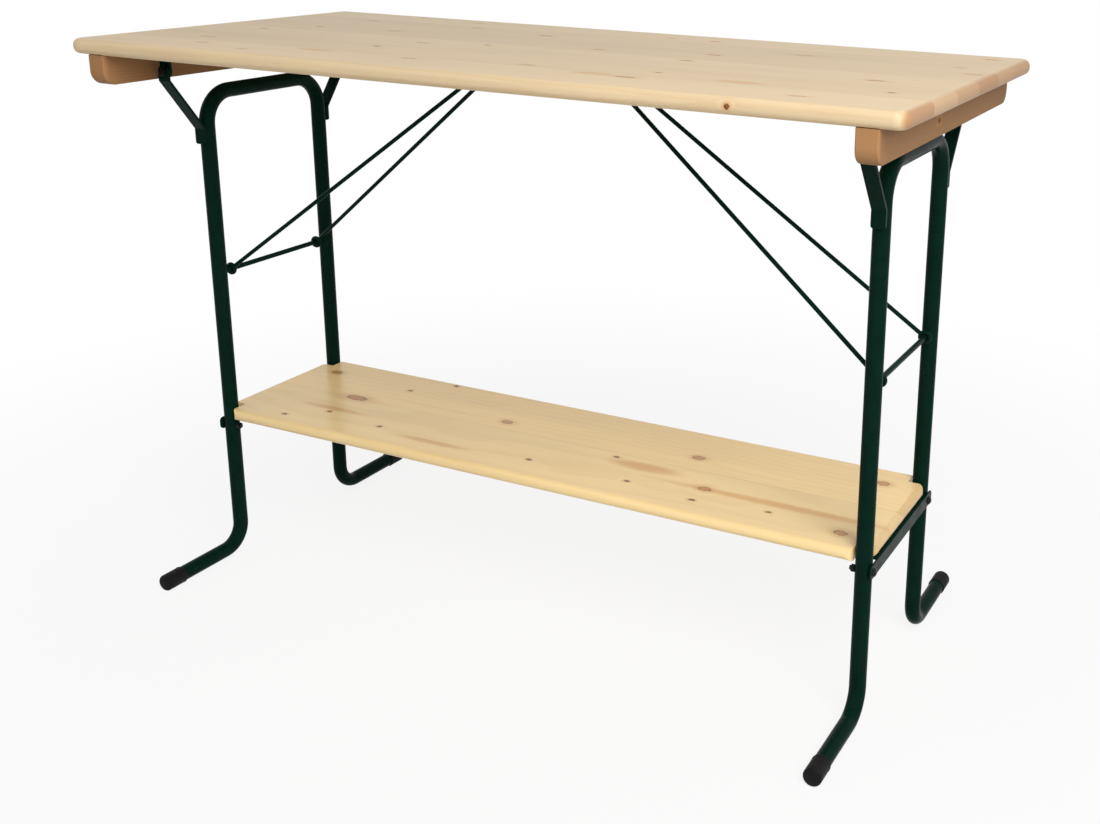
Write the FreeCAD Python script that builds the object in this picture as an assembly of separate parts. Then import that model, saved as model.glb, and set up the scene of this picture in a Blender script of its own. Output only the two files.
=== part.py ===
"""Folding bar table: a glued spruce top on two folding tube frames, with braces and a lift-out shelf.

Frame: X along the table, Y across it, Z up. The origin is on the floor under the middle of the top.
"""
import FreeCAD
import Part
import math
import os

Vector = FreeCAD.Vector

# Tabletop
TABLE_HEIGHT = 1100.0
TOP_LENGTH = 1600.0
TOP_WIDTH = 750.0
TOP_THICKNESS = 28.0
TOP_EDGE_RADIUS = 12.5
TOP_CORNER_RADIUS = 22.0
UNDERSIDE = TABLE_HEIGHT - TOP_THICKNESS
SCREW_BITE = 18.0

# Cross battens under the two ends of the top
BATTEN_X = 740.0
BATTEN_WIDTH = 36.0
BATTEN_HEIGHT = 55.0
BATTEN_LENGTH = 738.0
BATTEN_END_RADIUS = 26.0
BATTEN_EDGE_RADIUS = 2.5
BATTEN_SCREW_Y = (-290.0, -95.0, 95.0, 290.0)
BATTEN_SCREW_RADIUS = 3.0
BATTEN_SCREW_HEAD_RADIUS = 5.5
BATTEN_SCREW_HEAD_HEIGHT = 4.0
BATTEN_COUNTERBORE_RADIUS = 6.5
BATTEN_COUNTERBORE_DEPTH = 12.0
BATTEN_SCREW_TIP = UNDERSIDE + SCREW_BITE
SCREW_PLAY = 0.05
PILOT_RELIEF = 0.5

# Leg frames: one bent round tube each, with feet turned outwards
LEG_X = 700.0
LEG_Y = 158.0
TUBE_RADIUS = 15.0
TUBE_WALL = 2.0
TOP_BAR_Z = 981.0
TOP_BEND_RADIUS = 62.0
FOOT_BEND_RADIUS = 48.0
CAP_RADIUS = 17.0
FOOT_Z = CAP_RADIUS
FOOT_REACH = 372.0
CAP_LENGTH = 46.0
CAP_END_WALL = 4.0
CAP_PLAY = 0.05
CAP_EDGE_RADIUS = 3.5

# Joggled straps from the legs up to the pivots
PIVOT_Z = 1032.5
STRAP_WIDTH = 25.0
STRAP_THICKNESS = 5.0
STRAP_FOOT_Z = 883.0
STRAP_FOLD_Z = 915.0
STRAP_KNEE_Z = 1017.0
STRAP_PIVOT_Y = 252.5
STRAP_CORNER_RADIUS = 5.0

# Pivot bolts, nuts and brackets
BOLT_RADIUS = 4.0
PIVOT_PLAY = 0.05
FIXED_PLAY = 0.02
HEX_ACROSS_FLATS = 13.0
HEX_HEAD_HEIGHT = 5.3
NUT_HEIGHT = 6.5
SIDE_GAP = 0.3
BOLT_TAIL = 3.0
BRACKET_THICKNESS = 5.0
BRACKET_BASE_THICKNESS = 4.0
BRACKET_BASE_REACH = 52.0
BRACKET_SCREW_INSET = (16.0, 38.0)
SMALL_SCREW_RADIUS = 2.2
SMALL_SCREW_HEAD_RADIUS = 4.4
SMALL_SCREW_HEAD_HEIGHT = 2.6
SMALL_SCREW_TIP = UNDERSIDE + SCREW_BITE

# Crossbars and hairpin braces
CROSSBAR_Z = 617.0
CROSSBAR_RADIUS = 5.0
CROSSBAR_END_Y = 150.0
BRACE_RADIUS = 4.0
BRACE_EYE_Y = 126.0
BRACE_EYE_PLAY = 0.06
BRACE_NOSE_X = 131.0
BRACE_NOSE_Z = 1058.0
BRACE_NOSE_Y = 20.0
BRACE_NOSE_RADIUS = 12.0

# Catches under the top: a channel plate with a bent spring inside, open below and at both ends
CATCH_SHEET = 3.0
CATCH_LENGTH = 60.0
CATCH_HALF_WIDTH = 45.0
CATCH_CHEEK_Y = 28.0
CATCH_CHEEK_DROP = 16.0
CATCH_CORNER_RADIUS = 8.0
CATCH_SCREW_X = 20.0
CATCH_SCREW_Y = 38.0
SPRING_SHEET = 1.2
SPRING_LENGTH = 20.0
SPRING_ARM_Y = 24.6
SPRING_ARM_DROP = 12.5

# Shelf rails and shelf
RAIL_TOP_Z = 302.0
RAIL_SHEET = 3.0
RAIL_LEDGE = 30.0
RAIL_LEDGE_Y = 138.0
RAIL_DROP = 25.0
RAIL_HALF_LENGTH = 174.0
RAIL_END_RADIUS = 8.0
RAIL_BOLT_Z = 286.0
RAIL_BOLT_HOLE_PLAY = 0.4
RAIL_BOLT_HEAD_RADIUS = 8.5
RAIL_BOLT_HEAD_HEIGHT = 5.0
SHELF_THICKNESS = 24.0
SHELF_Z = RAIL_TOP_Z + SIDE_GAP
SHELF_HALF_WIDTH = 175.0
SHELF_SHOULDER_X = 682.5
SHELF_TONGUE_X = 715.0
SHELF_TONGUE_Y = 135.0
SHELF_EDGE_RADIUS = 11.0
SHELF_CORNER_RADIUS = 12.0

# Cutting tools reach this far past a face, and edges are picked within these limits
OVERCUT = 1.0
CLOSE = 0.01
PARALLEL = 0.99

SIDES = (("left", -1.0), ("right", 1.0))
ENDS = (("front", -1.0), ("rear", 1.0))
X_AXIS = Vector(1, 0, 0)
Y_AXIS = Vector(0, 1, 0)
Z_AXIS = Vector(0, 0, 1)


def export(name, shape):
    """Write one node as a STEP file and report its solids and volume."""
    shape.exportStep("parts/" + name + ".step")
    print(name, len(shape.Solids), "solids", round(shape.Volume / 1000.0, 2), "cm3", shape.isValid())


def box(x0, x1, y0, y1, z0, z1):
    """Box between two corners, whichever way round each pair of limits is given."""
    low = Vector(min(x0, x1), min(y0, y1), min(z0, z1))
    return Part.makeBox(abs(x1 - x0), abs(y1 - y0), abs(z1 - z0), low)


def rod(start, end, radius):
    """Round bar between two points."""
    along = end - start
    return Part.makeCylinder(radius, along.Length, start, along)


def hexagon(center, axis, height):
    """Hexagon prism with two flats across HEX_ACROSS_FLATS, standing on center along axis."""
    corner_radius = HEX_ACROSS_FLATS / math.sqrt(3.0)
    points = []
    for step in range(7):
        angle = math.radians(60.0 * step + 30.0)
        points.append(Vector(corner_radius * math.cos(angle), corner_radius * math.sin(angle), 0))
    prism = Part.Face(Part.makePolygon(points)).extrude(Vector(0, 0, height))
    prism.Placement = FreeCAD.Placement(center, FreeCAD.Rotation(Z_AXIS, axis))
    return prism


def rounded_wire(points, radii):
    """Wire through points in one plane, with an arc of the given radius at each inner point."""
    edges = []
    start = points[0]
    for index in range(1, len(points) - 1):
        corner = points[index]
        before = (points[index - 1] - corner).normalize()
        after = (points[index + 1] - corner).normalize()
        half = before.getAngle(after) / 2.0
        radius = radii[index - 1]
        reach = radius / math.tan(half)
        first = corner + before * reach
        last = corner + after * reach
        bisector = (before + after).normalize()
        middle = corner + bisector * (radius / math.sin(half) - radius)
        edges.append(Part.makeLine(start, first))
        edges.append(Part.Arc(first, middle, last).toShape())
        start = last
    edges.append(Part.makeLine(start, points[-1]))
    return Part.Wire(edges)


def swept_round(wire, start, direction, radius):
    """Solid of a round section swept along a wire that leaves start in the given direction."""
    section = Part.Wire(Part.makeCircle(radius, start, direction))
    return wire.makePipeShell([section], True, False)


def rounded_along(block, axis, radius):
    """Block with every edge that runs along axis rounded by radius."""
    edges = [edge for edge in block.Edges if abs(edge.tangentAt(edge.FirstParameter).dot(axis)) > PARALLEL]
    return block.makeFillet(radius, edges)


def make_top():
    """Glued tabletop with rounded plan corners and round edges, drilled for its screws."""
    half_length, half_width = TOP_LENGTH / 2.0, TOP_WIDTH / 2.0
    slab = box(-half_length, half_length, -half_width, half_width, UNDERSIDE, TABLE_HEIGHT)
    slab = rounded_along(slab, Z_AXIS, TOP_CORNER_RADIUS)
    rims = [edge for edge in slab.Edges if edge.BoundBox.ZLength < CLOSE]
    slab = slab.makeFillet(TOP_EDGE_RADIUS, rims)
    pilots = []
    for x, y in batten_screw_places():
        pilots.append(rod(Vector(x, y, UNDERSIDE - OVERCUT), Vector(x, y, BATTEN_SCREW_TIP + PILOT_RELIEF),
                          BATTEN_SCREW_RADIUS + SCREW_PLAY))
    for x, y in bracket_screw_places() + catch_screw_places() + spring_screw_places():
        pilots.append(rod(Vector(x, y, UNDERSIDE - OVERCUT), Vector(x, y, SMALL_SCREW_TIP + PILOT_RELIEF),
                          SMALL_SCREW_RADIUS + SCREW_PLAY))
    return slab.cut(Part.makeCompound(pilots))


def batten_screw_places():
    """Plan positions of the screws through both battens."""
    return [(side * BATTEN_X, y) for _, side in SIDES for y in BATTEN_SCREW_Y]


def bracket_screw_places():
    """Plan positions of the screws through the four pivot brackets."""
    outer = STRAP_PIVOT_Y - STRAP_THICKNESS / 2.0 - SIDE_GAP
    places = []
    for _, side in SIDES:
        for _, end in ENDS:
            for inset in BRACKET_SCREW_INSET:
                places.append((side * LEG_X, end * (outer - inset)))
    return places


def catch_screw_places():
    """Plan positions of the screws through the two catch plates."""
    return [(side * BRACE_NOSE_X + offset, y) for _, side in SIDES
            for offset in (-CATCH_SCREW_X, CATCH_SCREW_X) for y in (-CATCH_SCREW_Y, CATCH_SCREW_Y)]


def spring_screw_places():
    """Plan positions of the screws through the two catch springs."""
    return [(side * BRACE_NOSE_X, 0.0) for _, side in SIDES]


def make_batten(side):
    """Beech batten across one end, with its lower end corners rounded off."""
    x = side * BATTEN_X
    half_width = BATTEN_WIDTH / 2.0
    half_length = BATTEN_LENGTH / 2.0
    low = UNDERSIDE - BATTEN_HEIGHT
    bar = box(x - half_width, x + half_width, -half_length, half_length, low, UNDERSIDE)
    lower_ends = []
    for edge in bar.Edges:
        middle = edge.CenterOfMass
        if abs(middle.z - low) < CLOSE and abs(abs(middle.y) - half_length) < CLOSE:
            lower_ends.append(edge)
    bar = bar.makeFillet(BATTEN_END_RADIUS, lower_ends)
    lower_sides = []
    for edge in bar.Edges:
        middle = edge.CenterOfMass
        if abs(middle.z - low) < CLOSE and abs(abs(middle.x - x) - half_width) < CLOSE:
            lower_sides.append(edge)
    bar = bar.makeFillet(BATTEN_EDGE_RADIUS, lower_sides)
    for y in BATTEN_SCREW_Y:
        bar = bar.cut(rod(Vector(x, y, low - OVERCUT), Vector(x, y, UNDERSIDE + OVERCUT),
                          BATTEN_SCREW_RADIUS + SCREW_PLAY))
        bar = bar.cut(rod(Vector(x, y, low - OVERCUT), Vector(x, y, low + BATTEN_COUNTERBORE_DEPTH),
                          BATTEN_COUNTERBORE_RADIUS))
    return bar


def make_batten_screws():
    """Screws driven up through both battens into the top, heads sunk in the counterbores."""
    seat = UNDERSIDE - BATTEN_HEIGHT + BATTEN_COUNTERBORE_DEPTH
    screws = []
    for x, y in batten_screw_places():
        head = rod(Vector(x, y, seat - BATTEN_SCREW_HEAD_HEIGHT), Vector(x, y, seat),
                   BATTEN_SCREW_HEAD_RADIUS)
        shank = rod(Vector(x, y, seat), Vector(x, y, BATTEN_SCREW_TIP), BATTEN_SCREW_RADIUS)
        screws.append(head.fuse(shank).removeSplitter())
    return Part.makeCompound(screws)


def make_small_screws(places, seat):
    """Pan-head screws driven up into the top, heads under the sheet whose lower face is at seat."""
    screws = []
    for x, y in places:
        head = rod(Vector(x, y, seat - SMALL_SCREW_HEAD_HEIGHT), Vector(x, y, seat),
                   SMALL_SCREW_HEAD_RADIUS)
        shank = rod(Vector(x, y, seat), Vector(x, y, SMALL_SCREW_TIP), SMALL_SCREW_RADIUS)
        screws.append(head.fuse(shank).removeSplitter())
    return Part.makeCompound(screws)


def make_bracket(side, end):
    """Angle bracket under the top: a screwed base and a hanging lug for the pivot bolt."""
    x = side * LEG_X
    half = STRAP_WIDTH / 2.0
    outer = STRAP_PIVOT_Y - STRAP_THICKNESS / 2.0 - SIDE_GAP
    inner = outer - BRACKET_THICKNESS
    lug = box(x - half, x + half, end * inner, end * outer, PIVOT_Z, UNDERSIDE)
    lug = lug.fuse(rod(Vector(x, end * inner, PIVOT_Z), Vector(x, end * outer, PIVOT_Z), half))
    base = box(x - half, x + half, end * (outer - BRACKET_BASE_REACH), end * outer,
               UNDERSIDE - BRACKET_BASE_THICKNESS, UNDERSIDE)
    bracket = lug.fuse(base).removeSplitter()
    bore = rod(Vector(x, end * (inner - OVERCUT), PIVOT_Z), Vector(x, end * (outer + OVERCUT), PIVOT_Z),
               BOLT_RADIUS + FIXED_PLAY)
    bracket = bracket.cut(bore)
    for inset in BRACKET_SCREW_INSET:
        y = end * (outer - inset)
        below = UNDERSIDE - BRACKET_BASE_THICKNESS - OVERCUT
        bracket = bracket.cut(rod(Vector(x, y, below), Vector(x, y, UNDERSIDE + OVERCUT),
                                  SMALL_SCREW_RADIUS + SCREW_PLAY))
    return bracket


def make_pivot_bolt(side, end):
    """Hex bolt along Y through strap and bracket, head on the outside."""
    x = side * LEG_X
    face = STRAP_PIVOT_Y + STRAP_THICKNESS / 2.0 + SIDE_GAP
    nut_face = STRAP_PIVOT_Y - STRAP_THICKNESS / 2.0 - SIDE_GAP - BRACKET_THICKNESS
    tail = nut_face - NUT_HEIGHT - BOLT_TAIL
    shank = rod(Vector(x, end * tail, PIVOT_Z), Vector(x, end * face, PIVOT_Z), BOLT_RADIUS)
    head = hexagon(Vector(x, end * face, PIVOT_Z), Vector(0, end, 0), HEX_HEAD_HEIGHT)
    return shank.fuse(head).removeSplitter()


def make_pivot_nut(side, end):
    """Lock nut on the inner face of the bracket lug."""
    x = side * LEG_X
    face = STRAP_PIVOT_Y - STRAP_THICKNESS / 2.0 - SIDE_GAP - BRACKET_THICKNESS
    nut = hexagon(Vector(x, end * face, PIVOT_Z), Vector(0, -end, 0), NUT_HEIGHT)
    bore = rod(Vector(x, end * (face + OVERCUT), PIVOT_Z),
               Vector(x, end * (face - NUT_HEIGHT - OVERCUT), PIVOT_Z), BOLT_RADIUS + FIXED_PLAY)
    return nut.cut(bore)


def make_leg_frame(side):
    """One bent tube: foot, leg, top bar, leg, foot, drilled for the crossbar and the rail bolts."""
    x = side * LEG_X
    tip = FOOT_REACH - CAP_END_WALL
    path = [(-tip, FOOT_Z), (-LEG_Y, FOOT_Z), (-LEG_Y, TOP_BAR_Z),
            (LEG_Y, TOP_BAR_Z), (LEG_Y, FOOT_Z), (tip, FOOT_Z)]
    points = [Vector(x, y, z) for y, z in path]
    radii = [FOOT_BEND_RADIUS, TOP_BEND_RADIUS, TOP_BEND_RADIUS, FOOT_BEND_RADIUS]
    wire = rounded_wire(points, radii)
    outside = swept_round(wire, points[0], Y_AXIS, TUBE_RADIUS)
    inside = swept_round(wire, points[0], Y_AXIS, TUBE_RADIUS - TUBE_WALL)
    tube = outside.cut(inside)
    tube = tube.cut(rod(Vector(x, -CROSSBAR_END_Y, CROSSBAR_Z), Vector(x, CROSSBAR_END_Y, CROSSBAR_Z),
                        CROSSBAR_RADIUS))
    for _, end in ENDS:
        y = end * LEG_Y
        tube = tube.cut(rod(Vector(x - 2 * TUBE_RADIUS, y, RAIL_BOLT_Z),
                            Vector(x + 2 * TUBE_RADIUS, y, RAIL_BOLT_Z), BOLT_RADIUS + RAIL_BOLT_HOLE_PLAY))
    return tube


def make_foot_cap(side, end):
    """Moulded cap pushed over the end of a foot."""
    x = side * LEG_X
    start = Vector(x, end * (FOOT_REACH - CAP_LENGTH), FOOT_Z)
    stop = Vector(x, end * FOOT_REACH, FOOT_Z)
    cap = rod(start, stop, CAP_RADIUS)
    rim = [edge for edge in cap.Edges if abs(edge.BoundBox.Center.y - stop.y) < CLOSE]
    cap = cap.makeFillet(CAP_EDGE_RADIUS, rim)
    socket = rod(start - Vector(0, end * OVERCUT, 0), stop - Vector(0, end * CAP_END_WALL, 0),
                 TUBE_RADIUS + CAP_PLAY)
    return cap.cut(socket)


def make_strap(side, end):
    """Flat strap welded to the outer side of a leg, joggled outwards and up to the pivot."""
    x = side * LEG_X
    half = STRAP_WIDTH / 2.0
    inner_low = LEG_Y + TUBE_RADIUS
    outer_low = inner_low + STRAP_THICKNESS
    inner_high = STRAP_PIVOT_Y - STRAP_THICKNESS / 2.0
    outer_high = inner_high + STRAP_THICKNESS
    lean = math.atan2(inner_high - inner_low, STRAP_KNEE_Z - STRAP_FOLD_Z)
    shift = STRAP_THICKNESS * math.tan(lean / 2.0)
    outline = [(inner_low, STRAP_FOOT_Z), (inner_low, STRAP_FOLD_Z), (inner_high, STRAP_KNEE_Z),
               (inner_high, PIVOT_Z), (outer_high, PIVOT_Z), (outer_high, STRAP_KNEE_Z - shift),
               (outer_low, STRAP_FOLD_Z - shift), (outer_low, STRAP_FOOT_Z)]
    points = [Vector(x - half, end * y, z) for y, z in outline]
    body = Part.Face(Part.makePolygon(points + points[:1])).extrude(Vector(STRAP_WIDTH, 0, 0))
    foot_corners = []
    for edge in body.Edges:
        along_y = abs(edge.tangentAt(edge.FirstParameter).y) > PARALLEL
        if along_y and abs(edge.CenterOfMass.z - STRAP_FOOT_Z) < CLOSE:
            foot_corners.append(edge)
    body = body.makeFillet(STRAP_CORNER_RADIUS, foot_corners)
    eye = rod(Vector(x, end * inner_high, PIVOT_Z), Vector(x, end * outer_high, PIVOT_Z), half)
    bore = rod(Vector(x, end * (inner_high - OVERCUT), PIVOT_Z),
               Vector(x, end * (outer_high + OVERCUT), PIVOT_Z), BOLT_RADIUS + PIVOT_PLAY)
    return body.fuse(eye).removeSplitter().cut(bore)


def make_crossbar(side):
    """Round bar between the two legs of a frame, its ends let into the tubes."""
    x = side * LEG_X
    return rod(Vector(x, -CROSSBAR_END_Y, CROSSBAR_Z), Vector(x, CROSSBAR_END_Y, CROSSBAR_Z),
               CROSSBAR_RADIUS)


def make_brace(side):
    """Hairpin brace of round rod: two eyes on the crossbar and a blunt nose in the catch."""
    pivot = Vector(side * LEG_X, 0, CROSSBAR_Z)
    nose = Vector(side * BRACE_NOSE_X, 0, BRACE_NOSE_Z)
    along = nose - pivot
    length = along.Length
    along.normalize()
    eye_radius = CROSSBAR_RADIUS + BRACE_EYE_PLAY + BRACE_RADIUS
    start_y = BRACE_EYE_Y + (BRACE_NOSE_Y - BRACE_EYE_Y) * eye_radius / length
    path = [(eye_radius, start_y), (length, BRACE_NOSE_Y), (length, -BRACE_NOSE_Y), (eye_radius, -start_y)]
    points = [pivot + along * u + Vector(0, y, 0) for u, y in path]
    wire = rounded_wire(points, [BRACE_NOSE_RADIUS, BRACE_NOSE_RADIUS])
    brace = swept_round(wire, points[0], points[1] - points[0], BRACE_RADIUS)
    for _, end in ENDS:
        center = pivot + Vector(0, end * BRACE_EYE_Y, 0)
        brace = brace.fuse(Part.makeTorus(eye_radius, BRACE_RADIUS, center, Y_AXIS))
    bore = rod(pivot - Vector(0, CROSSBAR_END_Y, 0), pivot + Vector(0, CROSSBAR_END_Y, 0),
               CROSSBAR_RADIUS + BRACE_EYE_PLAY)
    return brace.cut(bore).removeSplitter()


def make_catch_plate(side):
    """Channel plate under the top: a screwed flat with two cheeks beside the nose of a brace."""
    x = side * BRACE_NOSE_X
    half = CATCH_LENGTH / 2.0
    low = UNDERSIDE - CATCH_SHEET
    plate = box(x - half, x + half, -CATCH_HALF_WIDTH, CATCH_HALF_WIDTH, low, UNDERSIDE)
    plate = rounded_along(plate, Z_AXIS, CATCH_CORNER_RADIUS)
    for _, end in ENDS:
        cheek = box(x - half, x + half, end * CATCH_CHEEK_Y, end * (CATCH_CHEEK_Y + CATCH_SHEET),
                    low - CATCH_CHEEK_DROP, low)
        plate = plate.fuse(cheek)
    plate = plate.removeSplitter()
    for screw_x, y in catch_screw_places() + spring_screw_places():
        plate = plate.cut(rod(Vector(screw_x, y, low - OVERCUT), Vector(screw_x, y, UNDERSIDE + OVERCUT),
                              SMALL_SCREW_RADIUS + SCREW_PLAY))
    return plate


def make_catch_spring(side):
    """Bent spring strip in the channel, its two arms beside the rods of the brace."""
    x = side * BRACE_NOSE_X
    half = SPRING_LENGTH / 2.0
    high = UNDERSIDE - CATCH_SHEET
    low = high - SPRING_SHEET
    outer = SPRING_ARM_Y + SPRING_SHEET
    spring = box(x - half, x + half, -outer, outer, low, high)
    for _, end in ENDS:
        arm = box(x - half, x + half, end * SPRING_ARM_Y, end * outer, high - SPRING_ARM_DROP, high)
        spring = spring.fuse(arm)
    spring = spring.removeSplitter()
    return spring.cut(rod(Vector(x, 0, low - OVERCUT), Vector(x, 0, high + OVERCUT),
                          SMALL_SCREW_RADIUS + SCREW_PLAY))


def make_rail(side):
    """Angle rail: a ledge under the shelf and a drop bolted to the outer side of the two legs."""
    near = LEG_X + TUBE_RADIUS + SIDE_GAP
    far = near + RAIL_SHEET
    drop = box(side * near, side * far, -RAIL_HALF_LENGTH, RAIL_HALF_LENGTH,
               RAIL_TOP_Z - RAIL_DROP, RAIL_TOP_Z)
    drop = rounded_along(drop, X_AXIS, RAIL_END_RADIUS)
    ledge = box(side * (far - RAIL_LEDGE), side * far, -RAIL_LEDGE_Y, RAIL_LEDGE_Y,
                RAIL_TOP_Z - RAIL_SHEET, RAIL_TOP_Z)
    rail = drop.fuse(ledge).removeSplitter()
    for _, end in ENDS:
        rail = rail.cut(rod(Vector(side * (near - OVERCUT), end * LEG_Y, RAIL_BOLT_Z),
                            Vector(side * (far + OVERCUT), end * LEG_Y, RAIL_BOLT_Z),
                            BOLT_RADIUS + SCREW_PLAY))
    return rail


def make_rail_bolts(side):
    """Two domed bolts along X that hold a rail to the legs."""
    near = LEG_X + TUBE_RADIUS + SIDE_GAP
    far = near + RAIL_SHEET
    tail = LEG_X - TUBE_RADIUS - SIDE_GAP - NUT_HEIGHT - BOLT_TAIL
    dome_radius = (RAIL_BOLT_HEAD_RADIUS ** 2 + RAIL_BOLT_HEAD_HEIGHT ** 2) / (2.0 * RAIL_BOLT_HEAD_HEIGHT)
    bolts = []
    for _, end in ENDS:
        y = end * LEG_Y
        shank = rod(Vector(side * tail, y, RAIL_BOLT_Z), Vector(side * far, y, RAIL_BOLT_Z), BOLT_RADIUS)
        crown = far + RAIL_BOLT_HEAD_HEIGHT
        dome = Part.makeSphere(dome_radius, Vector(side * (crown - dome_radius), y, RAIL_BOLT_Z))
        keep = rod(Vector(side * far, y, RAIL_BOLT_Z), Vector(side * crown, y, RAIL_BOLT_Z),
                   RAIL_BOLT_HEAD_RADIUS)
        bolts.append(shank.fuse(dome.common(keep)).removeSplitter())
    return Part.makeCompound(bolts)


def make_rail_nuts(side):
    """Hex nuts on the inner side of the legs for one rail."""
    face = LEG_X - TUBE_RADIUS - SIDE_GAP
    nuts = []
    for _, end in ENDS:
        y = end * LEG_Y
        nut = hexagon(Vector(side * face, y, RAIL_BOLT_Z), Vector(-side, 0, 0), NUT_HEIGHT)
        bore = rod(Vector(side * (face + OVERCUT), y, RAIL_BOLT_Z),
                   Vector(side * (face - NUT_HEIGHT - OVERCUT), y, RAIL_BOLT_Z), BOLT_RADIUS + FIXED_PLAY)
        nuts.append(nut.cut(bore))
    return Part.makeCompound(nuts)


def make_shelf():
    """Glued shelf board with round long edges and ends, notched at its corners round the legs."""
    top = SHELF_Z + SHELF_THICKNESS
    outline = (-SHELF_TONGUE_X, SHELF_TONGUE_X, -SHELF_HALF_WIDTH, SHELF_HALF_WIDTH, SHELF_Z, top)
    body = box(-SHELF_SHOULDER_X, SHELF_SHOULDER_X, -SHELF_HALF_WIDTH, SHELF_HALF_WIDTH, SHELF_Z, top)
    tongue = box(-SHELF_TONGUE_X, SHELF_TONGUE_X, -SHELF_TONGUE_Y, SHELF_TONGUE_Y, SHELF_Z, top)
    body = rounded_along(body, Z_AXIS, SHELF_CORNER_RADIUS)
    tongue = rounded_along(tongue, Z_AXIS, SHELF_CORNER_RADIUS)
    plan = body.fuse(tongue)
    long_edges = rounded_along(box(*outline), X_AXIS, SHELF_EDGE_RADIUS)
    end_edges = rounded_along(box(*outline), Y_AXIS, SHELF_EDGE_RADIUS)
    return plan.common(long_edges).common(end_edges).removeSplitter()


def main():
    os.makedirs("parts", exist_ok=True)
    plate_low = UNDERSIDE - CATCH_SHEET
    catch_screws = make_small_screws(catch_screw_places(), plate_low)
    spring_screws = make_small_screws(spring_screw_places(), plate_low - SPRING_SHEET)
    export("tabletop", make_top())
    export("batten_screws", make_batten_screws())
    export("bracket_screws", make_small_screws(bracket_screw_places(), UNDERSIDE - BRACKET_BASE_THICKNESS))
    export("catch_screws", Part.makeCompound(catch_screws.Solids + spring_screws.Solids))
    export("shelf_board", make_shelf())
    bolts = []
    nuts = []
    for name, side in SIDES:
        export(name + "_batten", make_batten(side))
        export(name + "_leg_frame", make_leg_frame(side))
        export(name + "_crossbar", make_crossbar(side))
        export(name + "_brace", make_brace(side))
        export(name + "_catch_plate", make_catch_plate(side))
        export(name + "_catch_spring", make_catch_spring(side))
        export(name + "_shelf_rail", make_rail(side))
        export(name + "_rail_bolts", make_rail_bolts(side))
        export(name + "_rail_nuts", make_rail_nuts(side))
        for place, end in ENDS:
            corner = name + "_" + place
            export(corner + "_bracket", make_bracket(side, end))
            export(corner + "_strap", make_strap(side, end))
            export(corner + "_foot_cap", make_foot_cap(side, end))
            bolts.append(make_pivot_bolt(side, end))
            nuts.append(make_pivot_nut(side, end))
    export("pivot_bolts", Part.makeCompound(bolts))
    export("pivot_nuts", Part.makeCompound(nuts))


main()
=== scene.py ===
"""Folding bar table: finishes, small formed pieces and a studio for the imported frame, in metres."""
import math

import bmesh
import bpy
import numpy as np
from bpy.props import FloatProperty, FloatVectorProperty, PointerProperty
from bpy.types import Operator, Panel, PropertyGroup
from mathutils import Matrix, Vector


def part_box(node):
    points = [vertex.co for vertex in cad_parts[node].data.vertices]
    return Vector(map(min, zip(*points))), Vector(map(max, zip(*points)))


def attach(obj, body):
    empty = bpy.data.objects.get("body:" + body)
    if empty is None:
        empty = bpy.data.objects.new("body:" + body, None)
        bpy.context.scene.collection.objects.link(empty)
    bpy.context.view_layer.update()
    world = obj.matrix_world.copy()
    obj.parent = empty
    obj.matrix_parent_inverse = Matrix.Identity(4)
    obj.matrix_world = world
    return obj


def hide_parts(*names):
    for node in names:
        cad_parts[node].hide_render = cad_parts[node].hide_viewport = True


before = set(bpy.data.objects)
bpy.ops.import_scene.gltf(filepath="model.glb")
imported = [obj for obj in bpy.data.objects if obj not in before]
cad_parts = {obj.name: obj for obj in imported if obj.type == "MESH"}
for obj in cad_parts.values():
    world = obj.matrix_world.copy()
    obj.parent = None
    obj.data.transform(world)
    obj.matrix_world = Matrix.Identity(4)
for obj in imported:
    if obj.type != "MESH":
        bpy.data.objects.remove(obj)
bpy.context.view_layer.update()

bl_info = {
    "name": "Folding Bar Table",
    "version": (1, 0, 0),
    "blender": (4, 5, 0),
    "location": "3D View > Sidebar > Bar Table",
    "description": "Dresses a folding bar table: wood, paint, caps, welds and screws",
    "category": "Add Mesh",
}

SIDES = ("left", "right")
ENDS = ("front", "rear")
PAINTED_NODES = ("leg_frame", "crossbar", "brace", "shelf_rail")

# Places that the small pieces share with the frame
TUBE_RADIUS = 0.015
LEG_X = 0.700
LEG_Y = 0.158
BATTEN_X = 0.740
BATTEN_SCREW_Y = (-0.290, -0.095, 0.095, 0.290)
BRACKET_SCREW_Y = (-0.2337, -0.2117, 0.2117, 0.2337)
CATCH_X = 0.131
SPRING_SHEET = 0.0012
STRAP_HALF = 0.0125
PIVOT_HEAD_Y = 0.2553
PIVOT_NUT = 0.0106
PIVOT_SHANK = 0.0201
HEAD_HEIGHT = 0.0053
NUT_HEIGHT = 0.0065

# Screws: radius and height of the heads, radius of the shanks, places of the catch screws
BATTEN_HEAD = (0.0055, 0.0040)
SMALL_HEAD = (0.0044, 0.0026)
BATTEN_SHANK = 0.0030
SMALL_SHANK = 0.0022
CATCH_SCREW_X = 0.020
CATCH_SCREW_Y = 0.038
WOOD_PITCH = 0.0024
WOOD_STEP = 0.0006

# Bolts, nuts and washers
HEX_HALF_FLATS = 0.0065
HEX_CONE_FOOT = 0.0062
HEX_CHAMFER = 0.0012
THREAD_RADIUS = 0.0039
THREAD_DEPTH = 0.0006
WASHER_BORE = 0.0042
WASHER_THICKNESS = 0.00025

# Foot caps: distances from the open end, then from the closed end
CAP_BODY = (0.0060, 0.0065)
CAP_GROOVES = (0.0080, 0.0090)
CAP_GROOVE_WIDTH = 0.0008
CAP_WALL = 0.0019
CAP_RELIEF = 0.0004
CAP_LIP = 0.0026
CAP_EDGE = 0.0048

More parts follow.
